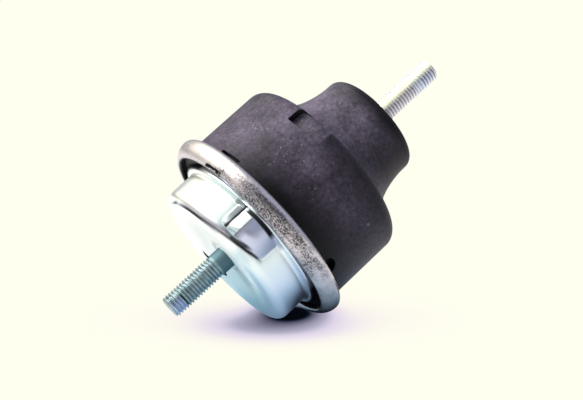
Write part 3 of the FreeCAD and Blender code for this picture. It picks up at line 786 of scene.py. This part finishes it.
def tarnished(name):
    """Bare rolled steel, mottled with tarnish by the boss, with dark streaks, painted shade that is black
    inside and along the top bend at one end and greyer towards that end, and one painted highlight along a
    stretch of lip.
    """
    white = (1, 1, 1, 1)
    soft_grey = (0.5, 0.42, 0.45, 1)
    black = (0.006, 0.006, 0.008, 1)
    made, tree, shader = material(name)
    x, y, z, radius = measures(tree)
    broad = noise(tree, 150, 6, 0.75, (1, 0.45, 1.4))
    fine = noise(tree, 1900, 3, 0.8, (1, 0.6, 1))
    where = product(
        tree,
        within(tree, y, [(-44, 0.15), (-30, 0.3), (-20, 0.8), (-10, 1), (25, 1), (30, 0.6), (44, 0.35)]),
        within(tree, z, [(15.2, 0.7), (16.4, 1), (20.4, 1), (22, 0.1)]))
    spread = maths(tree, "ADD", product(tree, where, 0.26), broad)
    mask = ramp(tree, spread, [(0.56, (0, 0, 0)), (0.78, (1, 1, 1))])
    clean = ramp(tree, fine, [(0.34, (0.47, 0.42, 0.47)), (0.52, (0.8, 0.72, 0.78))])
    stain = ramp(tree, fine, [
        (0.4, (0.015, 0.012, 0.018)), (0.5, (0.2, 0.18, 0.21)), (0.6, (0.56, 0.53, 0.57))])
    colour = mix(tree, mask, clean, stain)
    # painted shade: one end of the ring is greyer
    colour = mix(tree, within(tree, y, [(24, 0), (36, 0.55), (44, 0.7)]), colour, soft_grey)
    low_left = product(
        tree,
        within(tree, y, [(-35, 0), (-32, 0.6), (-30.5, 1), (-26, 1), (-25, 0.7), (-20, 0)]),
        within(tree, z, [(15.3, 0.8), (16.2, 1), (17.1, 0)]))
    # darker: streaks where the tarnish is thickest, and a black patch low on the left
    streaks = maths(tree, "ADD", product(tree, low_left, 0.32), broad)
    streaks = ramp(tree, streaks, [(0.71, (0, 0, 0)), (0.76, (1, 1, 1))])
    # painted highlight: one bright stretch of lip
    lip = product(
        tree,
        within(tree, z, [(15.6, 1), (16.0, 0)]),
        within(tree, y, [(26, 0), (31, 1)]),
        within(tree, x, [(-1, 1), (1, 0)]))
    colour = mix(tree, lip, colour, white)
    # painted shade: black inside the ring
    inside = product(
        tree,
        within(tree, radius, [(41.6, 1), (42.3, 0)]),
        within(tree, z, [(17, 1), (18, 0)]),
        within(tree, distance(tree, y, 0), [(22, 0), (30, 1)]),
        less(tree, 1.0, lip))
    # painted shade: black along the top bend at one end
    edge = product(tree, within(tree, z, [(21.6, 0), (22.6, 1)]), within(tree, y, [(35, 0), (38, 1)]))
    dark_marks_and_shade = largest(tree, streaks, inside, edge)
    tree.links.new(mix(tree, dark_marks_and_shade, colour, black), shader.inputs["Base Color"])
    matt_where(tree, shader, dark_marks_and_shade)
    shader.inputs["Roughness"].default_value = 0.3
    bump(tree, fine, shader, 0.3, 0.0003)
    return made


def shadow_patches(tree, place, rows):
    """Soft round patches of painted shadow on the floor.

    rows are (centre, radii, amount), with the places in millimetres along the picture and away.
    """
    total = 0.0
    for centre, radii, amount in rows:
        mapping = tree.nodes.new("ShaderNodeMapping")
        mapping.vector_type = "TEXTURE"
        mapping.inputs["Location"].default_value = (centre[0] * MM, centre[1] * MM, 0)
        mapping.inputs["Scale"].default_value = (radii[0] * MM, radii[1] * MM, 1)
        tree.links.new(place, mapping.inputs["Vector"])
        length = tree.nodes.new("ShaderNodeVectorMath")
        length.operation = "LENGTH"
        tree.links.new(mapping.outputs[0], length.inputs[0])
        square = maths(tree, "POWER", length.outputs["Value"], 2.0)
        fall = maths(tree, "EXPONENT", product(tree, square, -1.0))
        total = maths(tree, "ADD", product(tree, fall, amount), total)
    return total


def screen_ramp(tree, source, stops):
    """A colour ramp from (place, screen colour) stops."""
    return ramp(tree, source, [(at, linear(colour)) for at, colour in stops])


def floor_material():
    """A burnt-out white floor: the camera sees a soft painted shadow on it, and the mount sees a white card
    with painted shadow and dark patches on it.
    """
    made, tree, shader = material("floor_card")
    tree.nodes.remove(shader)
    place = tree.nodes.new("ShaderNodeTexCoord").outputs["Object"]
    # painted shadow that the camera sees
    shadow = shadow_patches(tree, place, [
        ((24, 6), (46, 26), 0.08),
        ((21, -5), (21, 17), 0.5),
        ((28, 15), (12, 14), 1.2)])
    seen = tree.nodes.new("ShaderNodeEmission")
    tree.links.new(screen_ramp(tree, shadow, [
        (0.0, BACKDROP),
        (0.03, (252, 248, 239)),
        (0.11, (238, 229, 237)),
        (0.22, (220, 212, 231)),
        (0.36, (178, 174, 196)),
        (0.65, (118, 117, 138)),
        (0.9, (30, 35, 55)),
        (1.0, (5, 8, 15))]), seen.inputs["Color"])
    # painted shadow and dark patches that the mount reflects
    mirrored = shadow_patches(tree, place, [
        ((24, 8), (44, 40), 0.55),
        ((44, 10), (16, 16), 0.7),
        ((-104, 0), (28, 85), 1.5),
        ((110, -50), (80, 70), 0.22)])
    card = tree.nodes.new("ShaderNodeEmission")
    tree.links.new(screen_ramp(tree, mirrored, [
        (0.0, (255, 255, 245)),
        (0.1, (250, 252, 245)),
        (0.25, (205, 225, 235)),
        (0.4, (155, 187, 203)),
        (0.6, (112, 140, 158)),
        (1.0, (14, 19, 31))]), card.inputs["Color"])
    rays = tree.nodes.new("ShaderNodeLightPath")
    softer = product(tree, rays.outputs["Is Diffuse Ray"], FLOOR_SOFTER)
    tree.links.new(less(tree, FLOOR_GLOW, softer), card.inputs["Strength"])
    side = tree.nodes.new("ShaderNodeNewGeometry")
    clear = tree.nodes.new("ShaderNodeBsdfTransparent")
    by_ray = choose(tree, rays.outputs["Is Camera Ray"], card, seen)
    by_side = choose(tree, side.outputs["Backfacing"], by_ray, clear)
    tree.links.new(by_side.outputs[0], tree.nodes["Material Output"].inputs["Surface"])
    return made


def choose(tree, factor, first, second):
    """The first shader where the factor is 0 and the second where it is 1."""
    made = tree.nodes.new("ShaderNodeMixShader")
    tree.links.new(factor, made.inputs[0])
    tree.links.new(first.outputs[0], made.inputs[1])
    tree.links.new(second.outputs[0], made.inputs[2])
    return made


def paint(piece, made):
    piece.data.materials.clear()
    piece.data.materials.append(made)


def make_floor():
    corners = [(x * FLOOR_HALF, y * FLOOR_HALF, 0) for x, y in ((-1, -1), (1, -1), (1, 1), (-1, 1))]
    made = mesh_object("floor", corners, [(0, 1, 2, 3)], False)
    made.matrix_world = placed(ALONG, AWAY, UP, UP * FLOOR_LEVEL * MM)
    return made


def make_camera():
    data = bpy.data.cameras.new("camera")
    data.lens = LENS
    data.sensor_width = SENSOR
    data.clip_start = 0.01
    data.clip_end = 50
    made = bpy.data.objects.new("camera", data)
    bpy.context.scene.collection.objects.link(made)
    made.matrix_world = placed(turned(CAMERA_RIGHT), turned(CAMERA_UP), BACK, turned(CAMERA_PLACE) * MM)
    return made


def make_sun(name, side, strength, width):
    """A sun that shines from one side of the room; its width is in degrees."""
    data = bpy.data.lights.new(name, "SUN")
    data.energy = strength
    data.angle = math.radians(width)
    lamp = bpy.data.objects.new(name, data)
    bpy.context.scene.collection.objects.link(lamp)
    lamp.rotation_mode = "QUATERNION"
    lamp.rotation_quaternion = (-room_direction(side)).to_track_quat("-Z", "Y")


def towards(tree, sky, side, edge):
    """1 towards one side of the room and 0 away from it, with a soft edge between."""
    facing = tree.nodes.new("ShaderNodeVectorMath")
    facing.operation = "DOT_PRODUCT"
    facing.inputs[1].default_value = room_direction(side)
    tree.links.new(sky, facing.inputs[0])
    spread = tree.nodes.new("ShaderNodeMapRange")
    spread.interpolation_type = "SMOOTHSTEP"
    for socket, number in zip(spread.inputs[1:5], (*edge, 0, 1)):
        socket.default_value = number
    tree.links.new(facing.outputs["Value"], spread.inputs[0])
    return spread.outputs[0]


def white_room():
    """A grey-blue room with a bright window and one dark patch; the camera sees a plain backdrop."""
    dark = (0.02, 0.02, 0.03, 1)
    below = (0.04, 0.04, 0.06, 1)
    glow = (WINDOW_GLOW, WINDOW_GLOW, WINDOW_GLOW * WINDOW_WARMTH, 1)
    world = bpy.data.worlds.new("white_room")
    world.use_nodes = True
    tree = world.node_tree
    tree.nodes.clear()
    rays = tree.nodes.new("ShaderNodeLightPath")
    sky = tree.nodes.new("ShaderNodeTexCoord").outputs["Generated"]
    room = mix(tree, towards(tree, sky, SHADED_PATCH, PATCH_EDGE), (*ROOM, 1), dark)
    above = mix(tree, towards(tree, sky, WINDOW, WINDOW_EDGE), room, glow)
    over_horizon = towards(tree, sky, (0, 1, 0), HORIZON_EDGE)
    lit = tree.nodes.new("ShaderNodeBackground")
    tree.links.new(mix(tree, over_horizon, below, above), lit.inputs["Color"])
    softer = product(tree, rays.outputs["Is Diffuse Ray"], ROOM_SOFTER)
    tree.links.new(less(tree, 1.0, softer), lit.inputs["Strength"])
    seen = node(tree, "ShaderNodeBackground", Color=(*linear(BACKDROP), 1), Strength=1.0)
    shown = choose(tree, rays.outputs["Is Camera Ray"], lit, seen)
    output = tree.nodes.new("ShaderNodeOutputWorld")
    tree.links.new(shown.outputs[0], output.inputs["Surface"])
    return world


# pieces that take the place of a solid
cup = make_cup()
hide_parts("base_cup")
ring = make_ring()
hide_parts("crimp_ring")
upper = make_stud(
    "upper_stud_thread", (HEAD_FACE, UPPER_TIP), UPPER_THREAD, UPPER_TIP, seed=5, crush=0.14,
    patches=[(112.8, 2.0, 30)],
    before=[
        (CORE_FOOT, COLLAR_R - COLLAR_CHAMFER),
        (CORE_FOOT + COLLAR_CHAMFER, COLLAR_R),
        (HEAD_FACE, COLLAR_R)])
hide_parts("upper_stud")
lower = make_stud(
    "lower_stud_thread", (LOWER_TIP, DISH), LOWER_THREAD, LOWER_TIP, seed=9, crush=0.15,
    after=[(DISH, COLLAR_R), (HEAD_SEAT, COLLAR_R), (HEAD_SEAT, HEAD_R), (HEAD_TOP, HEAD_R)])
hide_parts("lower_stud")

# pieces that the scene adds
notch_rubber = make_notch_rubber()
burr = make_burr()
for piece in (cup, ring, upper, lower, notch_rubber, burr):
    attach(piece, "root")

paint(cup, cup_zinc("bright_zinc"))
paint(ring, tarnished("bare_steel"))
paint(upper, upper_zinc("zinc_thread"))
paint(lower, lower_zinc("dull_zinc"))
paint(notch_rubber, rubber("notch_lining", (0.19, 0.16, 0.22), DUST))
paint(burr, metal("burnt_swarf", (0.05, 0.06, 0.06), 0.6))

# solids that show as they are
sleeve_rubber = rubber("sleeve_rubber", (0.135, 0.108, 0.162), DUST, sleeve_shade, sleeve_specks)
spring_rubber = rubber("spring_rubber", (0.205, 0.168, 0.238), (0.48, 0.46, 0.5), spring_shade)
soft_rubber = rubber("inner_rubber", (0.03, 0.03, 0.03), (0.05, 0.05, 0.05))
steel = metal("inner_steel", (0.5, 0.5, 0.51), 0.35)
cast = metal("cast_aluminium", (0.66, 0.66, 0.68), 0.45)
FINISHES = {
    "cover_sleeve": sleeve_rubber,
    "main_spring": spring_rubber,
    "decoupler": soft_rubber,
    "diaphragm": soft_rubber,
    "outer_armature": steel,
    "upper_plate": steel,
    "lower_plate": steel,
    "track_rivets": steel,
    "core": cast,
    "track_body": cast,
}
for name, finish in FINISHES.items():
    paint(NODES[name], finish)

floor = make_floor()
paint(floor, floor_material())

make_sun("key", KEY_SIDE, KEY_STRENGTH, KEY_WIDTH)
scene = bpy.context.scene
scene.camera = make_camera()
scene.world = white_room()
scene.view_settings.view_transform = "Standard"
